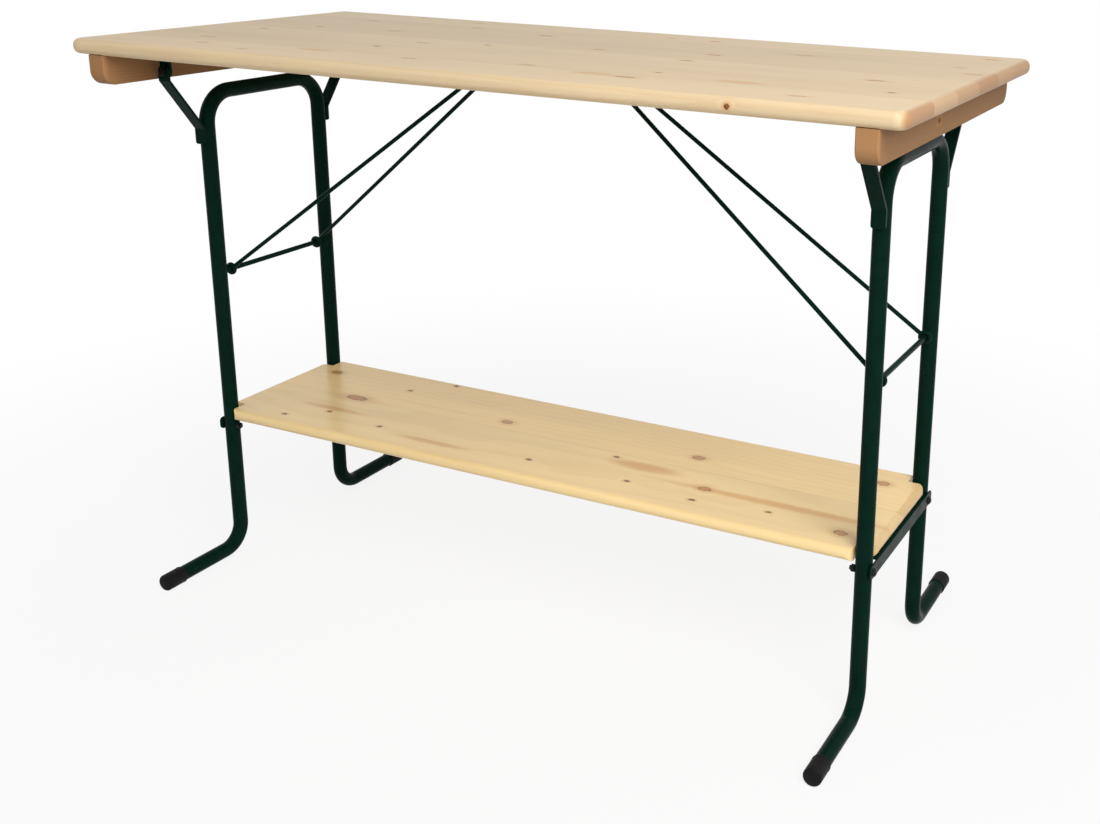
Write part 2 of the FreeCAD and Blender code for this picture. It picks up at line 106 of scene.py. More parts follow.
# Weld beads
STRAP_BEAD_X = 0.0094
STRAP_BEAD_Y = 0.1712
STRAP_BEAD_SPAN = (0.003, 0.034)
BAR_BEAD_GAP = 0.0006
BAR_BEAD_SINK = 0.0003
BAR_BEAD_SHARE = 0.6
BEAD_SWELL = 0.10

# Studio: place, target and size of the lamps, reach of the floor, width of the camera's sensor in mm
KEY_LAMP = ((2.3, -2.0, 2.7), (0.1, 0.0, 0.6), 2.4)
FILL_LAMP = ((-3.3, -1.8, 2.3), (-0.2, 0.0, 0.6), 2.2)
FLOOR_RADIUS = 14.0
SENSOR_WIDTH = 36.0

# A knot with a half length under DOT_KNOT is dark right through, a longer one has a dark rim.
# RIGHT_THROUGH is the half depth of a mark through a board, KNOT_SHAKE the width of its ragged outline.
DOT_KNOT = 0.0095
SOLID_CORE = -0.4
OPEN_CORE = 0.58
RIGHT_THROUGH = 1000.0
KNOT_SHAKE = 0.007

# Glued boards of equal width
TOP_BOARDS = 6
SHELF_BOARDS = 2

# Small knots scattered over the boards of the top, one in each stretch of a board
SCATTER_SEED = 5
STRETCHES = 5
SCATTER_LENGTH_SHARE = (0.10, 0.90)
SCATTER_WIDTH_SHARE = (0.15, 0.85)
SCATTER_HALF_LENGTH = (0.005, 0.020)
SCATTER_LEAST_WIDTH = 0.003
SCATTER_SLIMNESS = 0.17
SCATTER_STRENGTH = (0.40, 0.90)

# Kinds of marks: half length, half width, strength
MARK_KINDS = {
    "oval": (0.026, 0.011, 1.00),
    "round": (0.013, 0.009, 0.80),
    "dot": (0.006, 0.004, 0.90),
    "long streak": (0.120, 0.006, 0.75),
    "short streak": (0.045, 0.005, 0.70),
    "patch": (0.040, 0.010, 0.80),
    "faint patch": (0.022, 0.007, 0.70),
}

# Marks listed one by one: share of the length from the left, share of the depth from the front, kind
SHELF_KNOTS = (
    (0.05, 0.80, "round"),
    (0.10, 0.10, "dot"),
    (0.15, 0.25, "dot"),
    (0.15, 0.50, "oval"),
    (0.20, 0.75, "dot"),
    (0.25, 0.20, "dot"),
    (0.25, 0.95, "dot"),
    (0.40, 0.60, "round"),
    (0.50, 0.20, "dot"),
    (0.60, 0.45, "dot"),
    (0.65, 0.20, "dot"),
    (0.70, 0.65, "round"),
    (0.75, 0.15, "dot"),
    (0.75, 0.30, "round"),
    (0.85, 0.20, "dot"),
    (0.95, 0.15, "round"),
    (0.95, 0.80, "round"),
)
SHELF_STAINS = (
    (0.15, 0.30, "short streak"),
    (0.35, 0.15, "short streak"),
    (0.65, 0.40, "patch"),
    (0.85, 0.30, "long streak"),
)
TOP_STAINS = (
    (0.30, 0.15, "faint patch"),
    (0.65, 0.15, "faint patch"),
    (0.80, 0.20, "faint patch"),
)

# One knot in the front edge of the top and one in the outer face of the right batten
EDGE_KNOT_SHARE = 0.83
EDGE_KNOT_HALVES = (0.0045, 0.0060, 0.0045)
EDGE_KNOT_STRENGTH = 1.0
BATTEN_KNOT_SHARE = 0.40
BATTEN_KNOT_HALVES = (0.0090, 0.0060, 0.0120)
BATTEN_KNOT_STRENGTH = 0.8


# Settings

COLOUR_RANGE = {"size": 3, "min": 0.0, "max": 1.0}


class BarTableSizes(PropertyGroup):
    """Sizes of the small formed pieces."""

    cap_groove: FloatProperty(
        name="Cap Groove", description="Depth of the grooves round a foot cap", default=0.0005,
        unit="LENGTH")
    cap_dome: FloatProperty(
        name="Cap Dome", description="Height of the slightly domed end of a foot cap", default=0.0012,
        unit="LENGTH")
    bead_radius: FloatProperty(
        name="Weld Bead", description="Radius of a weld bead", default=0.0030, unit="LENGTH")
    bead_ripple: FloatProperty(
        name="Weld Ripple", description="Distance between two ripples of a weld bead", default=0.0032,
        unit="LENGTH")
    thread_pitch: FloatProperty(
        name="Thread Pitch", description="Pitch of the bolt threads", default=0.00125, unit="LENGTH")
    washer_radius: FloatProperty(
        name="Washer Radius", description="Outer radius of the pivot washers", default=0.0082,
        unit="LENGTH")


class BarTableFinishes(PropertyGroup):
    """Colours of the finishes."""

    spruce: FloatVectorProperty(
        name="Spruce", description="Pale earlywood of the tabletop", subtype="COLOR",
        default=(0.703, 0.538, 0.332), **COLOUR_RANGE)
    spruce_late: FloatVectorProperty(
        name="Spruce Latewood", description="Darker lines of the tabletop", subtype="COLOR",
        default=(0.545, 0.345, 0.155), **COLOUR_RANGE)
    pine: FloatVectorProperty(
        name="Pine", description="Pale earlywood of the shelf", subtype="COLOR",
        default=(0.920, 0.690, 0.345), **COLOUR_RANGE)
    pine_late: FloatVectorProperty(
        name="Pine Latewood", description="Darker lines of the shelf", subtype="COLOR",
        default=(0.700, 0.440, 0.180), **COLOUR_RANGE)
    beech: FloatVectorProperty(
        name="Beech", description="Ground colour of the battens", subtype="COLOR",
        default=(0.310, 0.165, 0.074), **COLOUR_RANGE)
    beech_late: FloatVectorProperty(
        name="Beech Latewood", description="Darker lines of the battens", subtype="COLOR",
        default=(0.230, 0.112, 0.044), **COLOUR_RANGE)
    end_grain: FloatVectorProperty(
        name="End Grain", description="Reddish tone of the sawn ends", subtype="COLOR",
        default=(0.400, 0.208, 0.090), **COLOUR_RANGE)
    knot: FloatVectorProperty(
        name="Knot", description="Heart of a knot", subtype="COLOR", default=(0.450, 0.130, 0.016),
        **COLOUR_RANGE)
    resin: FloatVectorProperty(
        name="Resin", description="Reddish stains along the grain", subtype="COLOR",
        default=(0.620, 0.280, 0.055), **COLOUR_RANGE)
    knot_rim: FloatVectorProperty(
        name="Knot Rim", description="Dark bark line round a knot", subtype="COLOR",
        default=(0.075, 0.024, 0.006), **COLOUR_RANGE)
    paint: FloatVectorProperty(
        name="Paint", description="Dark green enamel of the steel", subtype="COLOR",
        default=(0.0020, 0.0165, 0.0105), **COLOUR_RANGE)
    cap: FloatVectorProperty(
        name="Cap", description="Black moulded foot caps", subtype="COLOR",
        default=(0.0095, 0.0095, 0.0098), **COLOUR_RANGE)
    zinc: FloatVectorProperty(
        name="Zinc", description="Zinc plated screws and springs", subtype="COLOR",
        default=(0.560, 0.570, 0.580), **COLOUR_RANGE)


class BarTableStudio(PropertyGroup):
    """Camera and light."""

    camera_place: FloatVectorProperty(
        name="Camera Place", description="Where the camera stands", size=3, subtype="XYZ", unit="LENGTH",
        default=(1.3397, -2.127, 1.380))
    camera_yaw: FloatProperty(
        name="Camera Yaw", description="Turn of the view to the left of straight back", subtype="ANGLE",
        default=math.radians(24.248))
    camera_pitch: FloatProperty(
        name="Camera Pitch", description="Tilt of the view below level", subtype="ANGLE",
        default=math.radians(15.753))
    camera_roll: FloatProperty(
        name="Camera Roll", description="Turn of the picture about the view line", subtype="ANGLE",
        default=math.radians(-1.333))
    camera_lens: FloatProperty(
        name="Camera Lens", description="Focal length on a 36 mm wide sensor, in mm", default=44.15)
    camera_shift: FloatVectorProperty(
        name="Camera Shift", description="Sideways and upward shift", size=2, default=(-0.17, -0.125))
    floor: FloatVectorProperty(
        name="Floor", description="Colour of the pale floor", subtype="COLOR", default=(0.74, 0.74, 0.74),
        **COLOUR_RANGE)
    floor_white: FloatProperty(
        name="Floor White", description="Share of plain white seen in the floor", default=0.87, min=0.0,
        max=1.0)
    key_power: FloatProperty(
        name="Key Light", description="Power of the large lamp at the right front", subtype="POWER",
        default=120.0)
    fill_power: FloatProperty(
        name="Fill Light", description="Power of the lamp on the left", subtype="POWER", default=6.0)
    room: FloatProperty(
        name="Room Light", description="Strength of the even light from all round", default=0.35)


class BarTableSettings(PropertyGroup):
    """All settings of the table."""

    sizes: PointerProperty(type=BarTableSizes)
    finishes: PointerProperty(type=BarTableFinishes)
    studio: PointerProperty(type=BarTableStudio)


def settings(context):
    """The table's settings on the scene."""
    return context.scene.bar_table


# Meshes


def surface(name, points, closed_u=False, closed_v=False):
    """Mesh of a grid of points (rows, columns, 3): a cell is a quad between rows i, i+1 and columns j, j+1.

    closed_u joins the last row to the first, closed_v the last column to the first.
    """
    rows, columns = points.shape[:2]
    index = np.arange(rows * columns).reshape(rows, columns)
    if closed_u:
        index = np.vstack((index, index[:1]))
    if closed_v:
        index = np.hstack((index, index[:, :1]))
    faces = np.stack((index[:-1, :-1], index[:-1, 1:], index[1:, 1:], index[1:, :-1]), axis=-1).reshape(-1, 4)
    mesh = bpy.data.meshes.new(name)
    mesh.from_pydata(points.reshape(-1, 3), [], faces)
    return mesh


def added(name, data):
    """New object with the given data, in the scene."""
    made = bpy.data.objects.new(name, data)
    bpy.context.scene.collection.objects.link(made)
    return made


def joined(name, grids, smooth_angle=40.0):
    """One object of several grids, each given as (points, closed_u, closed_v).

    Rows that shrink to one point are merged into a pole, and the faces are turned outwards.
    """
    work = bmesh.new()
    for points, closed_u, closed_v in grids:
        part = surface(name, points, closed_u, closed_v)
        work.from_mesh(part)
        bpy.data.meshes.remove(part)
    bmesh.ops.remove_doubles(work, verts=work.verts, dist=2e-6)
    bmesh.ops.dissolve_degenerate(work, edges=work.edges, dist=1e-7)
    bmesh.ops.recalc_face_normals(work, faces=work.faces)
    mesh = bpy.data.meshes.new(name)
    work.to_mesh(mesh)
    work.free()
    mesh.shade_smooth()
    mesh.set_sharp_from_angle(angle=math.radians(smooth_angle))
    return added(name, mesh)


def turns(steps):
    """Angles of the steps of one full turn."""
    return np.linspace(0.0, 2.0 * math.pi, steps, endpoint=False)


def turned(radius, height, origin, axis, steps=64):
    """Grid of a profile turned about an axis: origin + height * axis + radius * (u cos(turn) + v sin(turn)).

    radius and height have one value for each row, or one for each row and step of the turn.
    """
    axis = np.asarray(axis, float)
    u = np.cross(axis, (0.0, 0.0, 1.0) if abs(axis[2]) < 0.9 else (1.0, 0.0, 0.0))
    u /= np.linalg.norm(u)
    turn = turns(steps)
    ring = np.cos(turn)[:, None] * u + np.sin(turn)[:, None] * np.cross(axis, u)
    radius = np.reshape(radius, (len(radius), -1, 1))
    height = np.reshape(height, (len(height), -1, 1))
    return np.asarray(origin, float) + radius * ring + height * axis


def carried(path, radius, across, steps=14, closed=False):
    """Grid of a round section carried along a path: point = path + radius(s) * (a cos t + b sin t).

    across is a vector that isn't along the path, a is across made square to the path, b is the path's
    direction x a. The direction is the difference of the neighbours, also over the end of a closed path.
    """
    along = np.roll(path, -1, axis=0) - np.roll(path, 1, axis=0) if closed else np.gradient(path, axis=0)
    along /= np.linalg.norm(along, axis=1, keepdims=True)
    first = across - along * np.sum(across * along, axis=1, keepdims=True)
    first /= np.linalg.norm(first, axis=1, keepdims=True)
    second = np.cross(along, first)
    turn = turns(steps)
    ring = np.cos(turn)[None, :, None] * first[:, None] + np.sin(turn)[None, :, None] * second[:, None]
    return path[:, None] + np.asarray(radius)[:, None, None] * ring


def corners(node):
    """Low and high corner of a frame node's box."""
    return (np.array(corner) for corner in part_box(node))


def finish(piece, material, body, slot, *nodes):
    """Give a piece its material and body, and hide the nodes that it stands for; the slot is not used."""
    piece.data.materials.clear()
    piece.data.materials.append(material)
    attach(piece, body)
    if nodes:
        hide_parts(*nodes)


def paint_node(name, material):
    """Put a material on every slot of a frame node."""
    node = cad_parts[name]
    if not node.material_slots:
        node.data.materials.append(material)
    for slot in node.material_slots:
        slot.material = material


# Shader helpers


def feed(tree, node, values):
    """Link each given input of a node to a socket, or set it to a value. Returns the node."""
    for key, value in dict(values).items():
        if isinstance(value, bpy.types.NodeSocket):
            tree.links.new(value, node.inputs[key])
        else:
            node.inputs[key].default_value = value
    return node


def place(tree, kind, values=(), **options):
    """Add a node, set its options and feed its inputs."""
    made = tree.nodes.new(kind)
    for key, value in options.items():
        setattr(made, key, value)
    return feed(tree, made, values)


def calc(tree, operation, *terms):
    """Result of one sum on values or sockets."""
    return place(tree, "ShaderNodeMath", enumerate(terms), operation=operation).outputs[0]


def ramp(tree, value, start, stop, low=0.0, high=1.0):
    """Smooth step of value, from low at start to high at stop."""
    values = {"Value": value, "From Min": start, "From Max": stop, "To Min": low, "To Max": high}
    return place(tree, "ShaderNodeMapRange", values, interpolation_type="SMOOTHSTEP").outputs[0]


def blend(tree, factor, first, second, mode="MIX"):
    """Colour between first and second by factor."""
    values = {0: factor, 6: first, 7: second}
    return place(tree, "ShaderNodeMix", values, data_type="RGBA", blend_type=mode).outputs[2]


def noise(tree, vector, scale, detail=2.0, rough=0.5):
    """Value of a noise texture, 0 to 1 about a half."""
    values = {"Vector": vector, "Scale": scale, "Detail": detail, "Roughness": rough}
    return place(tree, "ShaderNodeTexNoise", values).outputs[0]


def stretched(tree, vector, scale):
    """Vector multiplied by a scale for each axis."""
    return place(tree, "ShaderNodeVectorMath", {0: vector, 1: scale}, operation="MULTIPLY").outputs[0]


def group(name, inputs, outputs):
    """Empty shader group, socket names by kind. Returns the tree, its input and its output node."""
    tree = bpy.data.node_groups.new(name, "ShaderNodeTree")
    kinds = {"value": "NodeSocketFloat", "vector": "NodeSocketVector", "colour": "NodeSocketColor"}
    for way, sockets in (("INPUT", inputs), ("OUTPUT", outputs)):
        for kind, labels in sockets.items():
            for label in labels:
                tree.interface.new_socket(label, in_out=way, socket_type=kinds[kind])
    return tree, tree.nodes.new("NodeGroupInput"), tree.nodes.new("NodeGroupOutput")


def use(tree, effect, **values):
    """Place a shared group; underscores in the names stand for spaces."""
    spaced = {key.replace("_", " "): value for key, value in values.items()}
    return place(tree, "ShaderNodeGroup", spaced, node_tree=effect)


def straight_look(tree):
    """1 for a ray from the camera, a reflection or a transmission, else 0."""
    rays = tree.nodes.new("ShaderNodeLightPath").outputs
    return calc(tree, "MAXIMUM", rays["Is Camera Ray"],
                calc(tree, "MAXIMUM", rays["Is Glossy Ray"], rays["Is Transmission Ray"]))


def fresh_material(name):
    """Material with a Principled shader: the material, its tree, the shader and Object coordinates."""
    material = bpy.data.materials.new(name)
    material.use_nodes = True
    tree = material.node_tree
    tree.nodes.clear()
    shader = tree.nodes.new("ShaderNodeBsdfPrincipled")
    output = tree.nodes.new("ShaderNodeOutputMaterial")
    tree.links.new(shader.outputs[0], output.inputs[0])
    return material, tree, shader, tree.nodes.new("ShaderNodeTexCoord").outputs["Object"]


def rgba(colour):
    """Colour with full opacity."""
    return (colour[0], colour[1], colour[2], 1.0)


# Shared effects


def knot_group():
    """One knot: d is the distance from its centre in half lengths, half widths and half depths.

    Heart is 1 inside d = 0.6, rim is dark from d = core to d = 1, halo fades out at d = 2.6, and bend pushes
    the growth lines aside by exp(-d d / 6). Each is joined with the value from the knot before it.
    """
    tree, given, out = group(
        "knot",
        {"vector": ("Vector", "Centre", "Shrink"),
         "value": ("Half Width", "Strength", "Core", "Heart", "Rim", "Halo", "Bend")},
        {"value": ("Heart", "Rim", "Halo", "Bend")})
    away = place(tree, "ShaderNodeVectorMath", {0: given.outputs["Vector"], 1: given.outputs["Centre"]},
                 operation="SUBTRACT").outputs[0]
    away = stretched(tree, away, given.outputs["Shrink"])
    distance = place(tree, "ShaderNodeVectorMath", {0: away}, operation="LENGTH").outputs["Value"]
    strength = given.outputs["Strength"]
    heart = calc(tree, "MULTIPLY", ramp(tree, distance, 0.60, 1.00, 1.0, 0.0), strength)
    dark = ramp(tree, distance, given.outputs["Core"], calc(tree, "ADD", given.outputs["Core"], 0.30))
    rim = calc(tree, "MULTIPLY", dark, ramp(tree, distance, 0.88, 1.14, 1.0, 0.0))
    rim = calc(tree, "MULTIPLY", rim, strength)
    halo = calc(tree, "MULTIPLY", ramp(tree, distance, 0.8, 2.6, 1.0, 0.0), strength)
    fall = calc(tree, "POWER", 0.846, calc(tree, "MULTIPLY", distance, distance))
    push = calc(tree, "MULTIPLY", calc(tree, "MULTIPLY", fall, given.outputs["Half Width"]), 1.6)
    for label, value in (("Heart", heart), ("Rim", rim), ("Halo", halo)):
        tree.links.new(calc(tree, "MAXIMUM", given.outputs[label], value), out.inputs[label])
    tree.links.new(calc(tree, "ADD", given.outputs["Bend"], push), out.inputs["Bend"])
    return tree


def wood_group():
    """Sawn wood with the grain along X: growth rings about a pith that lies beside each board.

    Ring radius = distance from the board's own pith + slow waves + the bend of the knots. The latewood line
    rises over the last part of each ring and drops at once. Fibres are noise stretched along the grain.
    """
    tree, given, out = group(
        "sawn_wood",
        {"vector": ("Vector",), "value": ("Board", "Bend", "Ring Width", "Contrast", "Board Change"),
         "colour": ("Early", "Late")},
        {"colour": ("Color",), "value": ("Late", "Fibre", "Chance")})
    vector = given.outputs["Vector"]
    chance = place(tree, "ShaderNodeTexWhiteNoise", {"W": given.outputs["Board"]}, noise_dimensions="1D")
    parts = place(tree, "ShaderNodeSeparateColor", {0: chance.outputs["Color"]}).outputs
    own = place(tree, "ShaderNodeVectorMath", {0: vector, 1: chance.outputs["Color"]},
                operation="ADD").outputs[0]
    axes = place(tree, "ShaderNodeSeparateXYZ", {0: vector}).outputs
    pith_y = calc(tree, "MULTIPLY_ADD", parts[0], 0.9, -0.45)
    pith_z = calc(tree, "MULTIPLY_ADD", parts[1], 0.10, 0.02)
    side = calc(tree, "SUBTRACT", axes[1], pith_y)
    depth = calc(tree, "ADD", calc(tree, "PINGPONG", axes[2], 0.5), pith_z)
    radius = calc(tree, "SQRT", calc(tree, "ADD", calc(tree, "MULTIPLY", side, side),
                                     calc(tree, "MULTIPLY", depth, depth)))
    wave = noise(tree, stretched(tree, own, (1.6, 7.0, 7.0)), 1.0, 2.0)
    waver = noise(tree, stretched(tree, own, (9.0, 60.0, 60.0)), 1.0, 1.0)
    radius = calc(tree, "ADD", radius, calc(tree, "MULTIPLY", wave, 0.050))
    radius = calc(tree, "ADD", radius, calc(tree, "MULTIPLY", waver, 0.0016))
    radius = calc(tree, "ADD", radius, given.outputs["Bend"])
    phase = calc(tree, "DIVIDE", radius, given.outputs["Ring Width"])
    part = calc(tree, "FRACT", phase)
    late = calc(tree, "MULTIPLY", ramp(tree, part, 0.25, 0.90), ramp(tree, part, 0.92, 1.0, 1.0, 0.0))
    ring_seed = calc(tree, "MULTIPLY_ADD", given.outputs["Board"], 37.0, calc(tree, "FLOOR", phase))
    year = place(tree, "ShaderNodeTexWhiteNoise", {"W": ring_seed}, noise_dimensions="1D").outputs["Value"]
    late = calc(tree, "MULTIPLY", late, calc(tree, "MULTIPLY_ADD", year, 0.8, 0.35))
    fibre = noise(tree, stretched(tree, own, (14.0, 900.0, 900.0)), 1.0, 3.0, 0.6)
    tone = noise(tree, stretched(tree, own, (2.2, 11.0, 11.0)), 1.0, 2.0)
    mix = calc(tree, "MULTIPLY", late, given.outputs["Contrast"])
    colour = blend(tree, mix, given.outputs["Early"], given.outputs["Late"])
    light = calc(tree, "MULTIPLY_ADD", fibre, 0.16, 0.92)
    light = calc(tree, "ADD", light, calc(tree, "MULTIPLY_ADD", tone, 0.22, -0.11))
    change = calc(tree, "MULTIPLY", calc(tree, "SUBTRACT", parts[2], 0.5), given.outputs["Board Change"])
    light = calc(tree, "ADD", light, change)
    warm = calc(tree, "MULTIPLY", calc(tree, "SUBTRACT", parts[1], 0.5), given.outputs["Board Change"])
    green = calc(tree, "MULTIPLY_ADD", warm, -0.35, light)
    blue = calc(tree, "MULTIPLY_ADD", warm, -1.0, light)
    tint = place(tree, "ShaderNodeCombineColor", {0: light, 1: green, 2: blue}).outputs[0]
    colour = blend(tree, 1.0, colour, tint, "MULTIPLY")
    feed(tree, out, {"Color": colour, "Late": late, "Fibre": fibre, "Chance": parts[0]})
    return tree


def skin_group():
    """Skin of a sprayed or moulded surface: fine peel for bump and slow patches for gloss."""
    tree, given, out = group("skin", {"vector": ("Vector",), "value": ("Peel Scale", "Dull", "Glossy")},
                             {"value": ("Height", "Roughness")})
    peel = noise(tree, given.outputs["Vector"], given.outputs["Peel Scale"], 2.0)
    patch = noise(tree, given.outputs["Vector"], 18.0, 3.0)
    spread = calc(tree, "SUBTRACT", given.outputs["Dull"], given.outputs["Glossy"])
    rough = calc(tree, "MULTIPLY_ADD", ramp(tree, patch, 0.35, 0.65), spread, given.outputs["Glossy"])
    feed(tree, out, {"Height": peel, "Roughness": rough})
    return tree


def shared(name):
    """The named group, built once."""
    makers = {"knot": knot_group, "sawn_wood": wood_group, "skin": skin_group}
    return bpy.data.node_groups.get(name) or makers[name]()


# Finishes


def knot_at(tree, ragged, mark, **values):
    """Sockets of the shared knot at a mark; ragged coordinates are moved on by half the shake."""
    x, y, z, half_x, half_y, half_z, strength = mark
    moved = KNOT_SHAKE / 2.0
    return use(tree, shared("knot"), Vector=ragged, Centre=(x + moved, y + moved, z + moved),
               Shrink=(1.0 / half_x, 1.0 / half_y, 1.0 / half_z), Half_Width=half_y, Strength=strength,
               Core=SOLID_CORE if half_x < DOT_KNOT else OPEN_CORE, **values).outputs


def wood_material(name, finishes, early, late, seams, knots, stains, look):
    """Glued boards of sawn wood with knots, seams and darker end grain under varnish."""
    made = bpy.data.materials.get(name)
    if made:
        return made
    material, tree, shader, coords = fresh_material(name)
    axes = place(tree, "ShaderNodeSeparateXYZ", {0: coords}).outputs
    if look["grain"] == "Y":
        coords = place(tree, "ShaderNodeCombineXYZ", {0: axes[1], 1: axes[2], 2: axes[0]}).outputs[0]
        axes = (axes[1], axes[2], axes[0])
    board = 3.0 + look["seed"]
    line = 0.0
    for seam in seams:
        board = calc(tree, "ADD", board, calc(tree, "GREATER_THAN", axes[1], seam))
        gap = calc(tree, "ABSOLUTE", calc(tree, "SUBTRACT", axes[1], seam))
        line = calc(tree, "MAXIMUM", line, ramp(tree, gap, 0.0002, 0.0011, 1.0, 0.0))
    shake = place(tree, "ShaderNodeTexNoise", {"Vector": coords, "Scale": 95.0, "Detail": 3.0})
    ragged = place(tree, "ShaderNodeVectorMath", {0: shake.outputs["Color"], 1: (KNOT_SHAKE,) * 3, 2: coords},
                   operation="MULTIPLY_ADD").outputs[0]
    heart, rim, halo, bend = 0.0, 0.0, 0.0, 0.0
    for mark in knots:
        spot = knot_at(tree, ragged, mark, Heart=heart, Rim=rim, Halo=halo, Bend=bend)
        heart, rim, halo, bend = (spot[label] for label in ("Heart", "Rim", "Halo", "Bend"))
    stain = 0.0
    for mark in stains:
        stain = knot_at(tree, ragged, mark, Halo=stain)["Halo"]
    wood = use(tree, shared("sawn_wood"), Vector=coords, Board=board, Bend=bend, Ring_Width=look["ring"],
               Contrast=look["contrast"], Early=rgba(early), Late=rgba(late), Board_Change=look["change"])
    colour = wood.outputs["Color"]
    if look["end"]:
        near_end = ramp(tree, calc(tree, "ABSOLUTE", axes[0]), look["end"] - 0.014, look["end"] - 0.003)
        share = ramp(tree, wood.outputs["Chance"], 0.0, 1.0, *look["end_share"])
        colour = blend(tree, calc(tree, "MULTIPLY", near_end, share), colour, rgba(finishes.end_grain))
    if seams:
        colour = blend(tree, calc(tree, "MULTIPLY", line, 0.28), colour, rgba(finishes.knot))
    if stains:
        colour = blend(tree, calc(tree, "MULTIPLY", stain, 0.75), colour, rgba(finishes.resin))
    if knots:
        broken = ramp(tree, noise(tree, coords, 240.0, 2.0), 0.36, 0.62, 0.45, 1.00)
        patchy = ramp(tree, noise(tree, coords, 420.0, 2.0), 0.35, 0.65, 0.55, 0.95)
        colour = blend(tree, calc(tree, "MULTIPLY", halo, 0.48), colour, rgba(finishes.resin))
        colour = blend(tree, calc(tree, "MULTIPLY", heart, patchy), colour, rgba(finishes.knot))
        colour = blend(tree, calc(tree, "MULTIPLY", rim, broken), colour, rgba(finishes.knot_rim))
    if look["fleck"]:
        dashes = noise(tree, stretched(tree, coords, (60.0, 520.0, 520.0)), 1.0, 1.0)
        fleck = calc(tree, "MULTIPLY", ramp(tree, dashes, 0.62, 0.74), look["fleck"])
        colour = blend(tree, fleck, colour, rgba(late))
    rough = calc(tree, "MULTIPLY_ADD", wood.outputs["Fibre"], look["dull"] - look["gloss"], look["gloss"])
    height = calc(tree, "MULTIPLY_ADD", wood.outputs["Late"], 0.4, wood.outputs["Fibre"])
    bump = place(tree, "ShaderNodeBump", {"Height": height, "Strength": look["bump"], "Distance": 0.0004})
    feed(tree, shader, {"Base Color": colour, "Roughness": rough, "Normal": bump.outputs[0],
                        "Specular IOR Level": look["specular"], "Coat Weight": look["coat"],
                        "Coat Roughness": 0.10})
    return material


def between(low, high, share):
    """Place at a share of the way: low + (high - low) * share."""
    return low + (high - low) * share


def board_seams(node, boards):
    """Seams of equal glued boards: y = front + depth * i / boards for i = 1 .. boards - 1."""
    low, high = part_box(node)
    return tuple(between(low[1], high[1], i / boards) for i in range(1, boards))


def placed_marks(node, chosen):
    """Marks that go right through a node's boards: centre, half sizes, strength."""
    low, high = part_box(node)
    marks = []
    for along, across, kind in chosen:
        half_x, half_y, strength = MARK_KINDS[kind]
        x = between(low[0], high[0], along)
        y = between(low[1], high[1], across)
        marks.append((x, y, 0.0, half_x, half_y, RIGHT_THROUGH, strength))
    return tuple(marks)


def scattered_knots(node, boards):
    """One knot at a random place in each stretch of a board: half width = least + slimness * half length."""
    low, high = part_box(node)
    chance = np.random.default_rng(SCATTER_SEED)
    knots = []
    for board in range(boards):
        for stretch in range(STRETCHES):
            x = between(low[0], high[0], (stretch + chance.uniform(*SCATTER_LENGTH_SHARE)) / STRETCHES)
            y = between(low[1], high[1], (board + chance.uniform(*SCATTER_WIDTH_SHARE)) / boards)
            half_x = chance.uniform(*SCATTER_HALF_LENGTH)
            half_y = SCATTER_LEAST_WIDTH + SCATTER_SLIMNESS * half_x
            knots.append((x, y, 0.0, half_x, half_y, RIGHT_THROUGH, chance.uniform(*SCATTER_STRENGTH)))
    return tuple(knots)


def top_edge_knot():
    """The knot in the front edge of the top, at half its thickness."""
    low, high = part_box("tabletop")
    centre = (between(low[0], high[0], EDGE_KNOT_SHARE), low[1], between(low[2], high[2], 0.5))
    return centre + EDGE_KNOT_HALVES + (EDGE_KNOT_STRENGTH,)


def batten_knot():
    """The knot in the right batten's outer face, in the batten's grain order Y, Z, X."""
    low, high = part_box("right_batten")
    centre = (between(low[1], high[1], BATTEN_KNOT_SHARE), between(low[2], high[2], 0.5), high[0])
    return centre + BATTEN_KNOT_HALVES + (BATTEN_KNOT_STRENGTH,)


def spruce_material(finishes):
    """Clear varnished spruce boards of the tabletop."""
    look = {"grain": "X", "seed": 0.0, "ring": 0.0085, "contrast": 0.20, "change": 0.10, "fleck": 0.0,
            "gloss": 0.38, "dull": 0.55, "bump": 0.10, "specular": 0.34, "coat": 0.0,
            "end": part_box("tabletop")[1][0], "end_share": (0.55, 0.95)}
    return wood_material("spruce_boards", finishes, finishes.spruce, finishes.spruce_late,
                         board_seams("tabletop", TOP_BOARDS),
                         scattered_knots("tabletop", TOP_BOARDS) + (top_edge_knot(),),
                         placed_marks("tabletop", TOP_STAINS), look)


def pine_material(finishes):
    """Glossy varnished pine boards of the shelf."""
    look = {"grain": "X", "seed": 11.0, "ring": 0.012, "contrast": 0.14, "change": 0.12, "fleck": 0.0,
            "gloss": 0.22, "dull": 0.38, "bump": 0.06, "specular": 0.25, "coat": 0.12,
            "end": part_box("shelf_board")[1][0], "end_share": (0.20, 0.50)}
    return wood_material("pine_boards", finishes, finishes.pine, finishes.pine_late,
                         board_seams("shelf_board", SHELF_BOARDS), placed_marks("shelf_board", SHELF_KNOTS),
                         placed_marks("shelf_board", SHELF_STAINS), look)


def beech_material(finishes):
    """Beech battens with short dark flecks, grain across the table."""
    look = {"grain": "Y", "seed": 23.0, "ring": 0.0046, "contrast": 0.26, "change": 0.05, "fleck": 0.30,
            "gloss": 0.48, "dull": 0.66, "bump": 0.16, "specular": 0.10, "coat": 0.0,
            "end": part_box("left_batten")[1][1], "end_share": (0.85, 0.95)}
    return wood_material("beech_battens", finishes, finishes.beech, finishes.beech_late, (),
                         (batten_knot(),), (), look)


